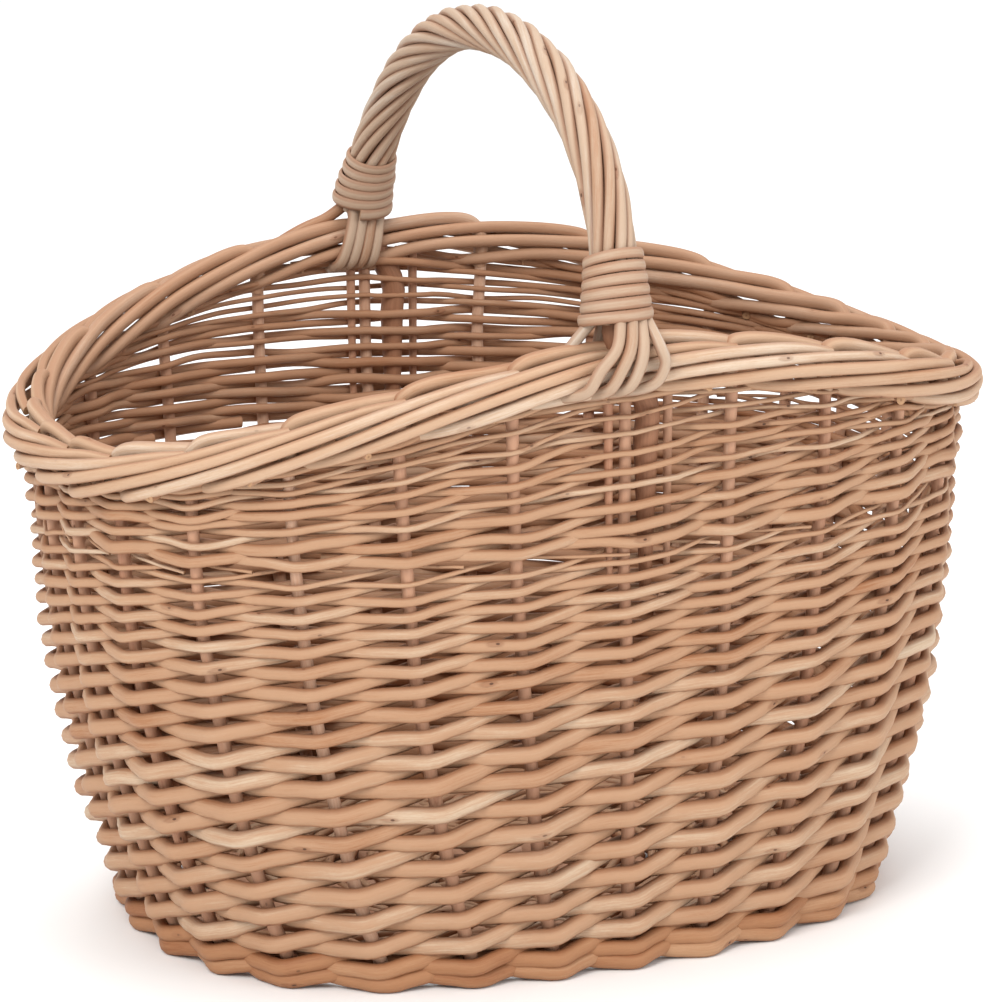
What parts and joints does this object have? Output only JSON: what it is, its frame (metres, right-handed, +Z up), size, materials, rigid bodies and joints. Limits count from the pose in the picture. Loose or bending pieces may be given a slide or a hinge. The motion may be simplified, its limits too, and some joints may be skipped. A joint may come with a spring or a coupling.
{
  "type": "woven willow market basket with a fixed roped handle",
  "caption": "Oval willow market basket with flared woven sides, a border that rises to the middle, and a fixed roped bow handle held by wrapped collars.",
  "frame": {"origin": "on the floor, under the middle of the basket", "axes": "+Z up, +X along the basket's length, +Y across it, from one foot of the handle to the other"},
  "size_m": [0.458, 0.3167, 0.4136],
  "materials": {
    "willow_weave": "peeled white willow rods, satin, pale tan",
    "willow_stake": "peeled white willow stakes, satin, a little darker",
    "willow_border": "peeled white willow border rods, satin, pale",
    "willow_handle": "peeled white willow roping rods, satin, light orange tan",
    "willow_core": "thick willow rod and base sticks, satin, darker"
  },
  "bodies": {
    "root": {"base_weave": "willow_weave", "border": "willow_border", "cross_stick_1": "willow_core", "cross_stick_2": "willow_core", "cross_stick_3": "willow_core", "cross_stick_4": "willow_core", "cross_stick_5": "willow_core", "cross_stick_6": "willow_core", "cross_stick_7": "willow_core", "cross_stick_8": "willow_core", "far_collar": "willow_handle", "far_fan_rods": "willow_handle", "far_liners": "willow_stake", "handle_bow": "willow_core", "long_stick_1": "willow_core", "long_stick_2": "willow_core", "long_stick_3": "willow_core", "lower_siding": "willow_weave", "near_collar": "willow_handle", "near_fan_rods": "willow_handle", "near_liners": "willow_stake", "roping_rods": "willow_handle", "stake_1": "willow_stake", "stake_10": "willow_stake", "stake_11": "willow_stake", "stake_12": "willow_stake", "stake_13": "willow_stake", "stake_14": "willow_stake", "stake_15": "willow_stake", "stake_16": "willow_stake", "stake_17": "willow_stake", "stake_18": "willow_stake", "stake_19": "willow_stake", "stake_2": "willow_stake", "stake_20": "willow_stake", "stake_21": "willow_stake", "stake_22": "willow_stake", "stake_23": "willow_stake", "stake_24": "willow_stake", "stake_25": "willow_stake", "stake_26": "willow_stake", "stake_3": "willow_stake", "stake_4": "willow_stake", "stake_5": "willow_stake", "stake_6": "willow_stake", "stake_7": "willow_stake", "stake_8": "willow_stake", "stake_9": "willow_stake", "upper_siding": "willow_weave", "upsett_wale": "willow_core"}
  },
  "joints": []
}
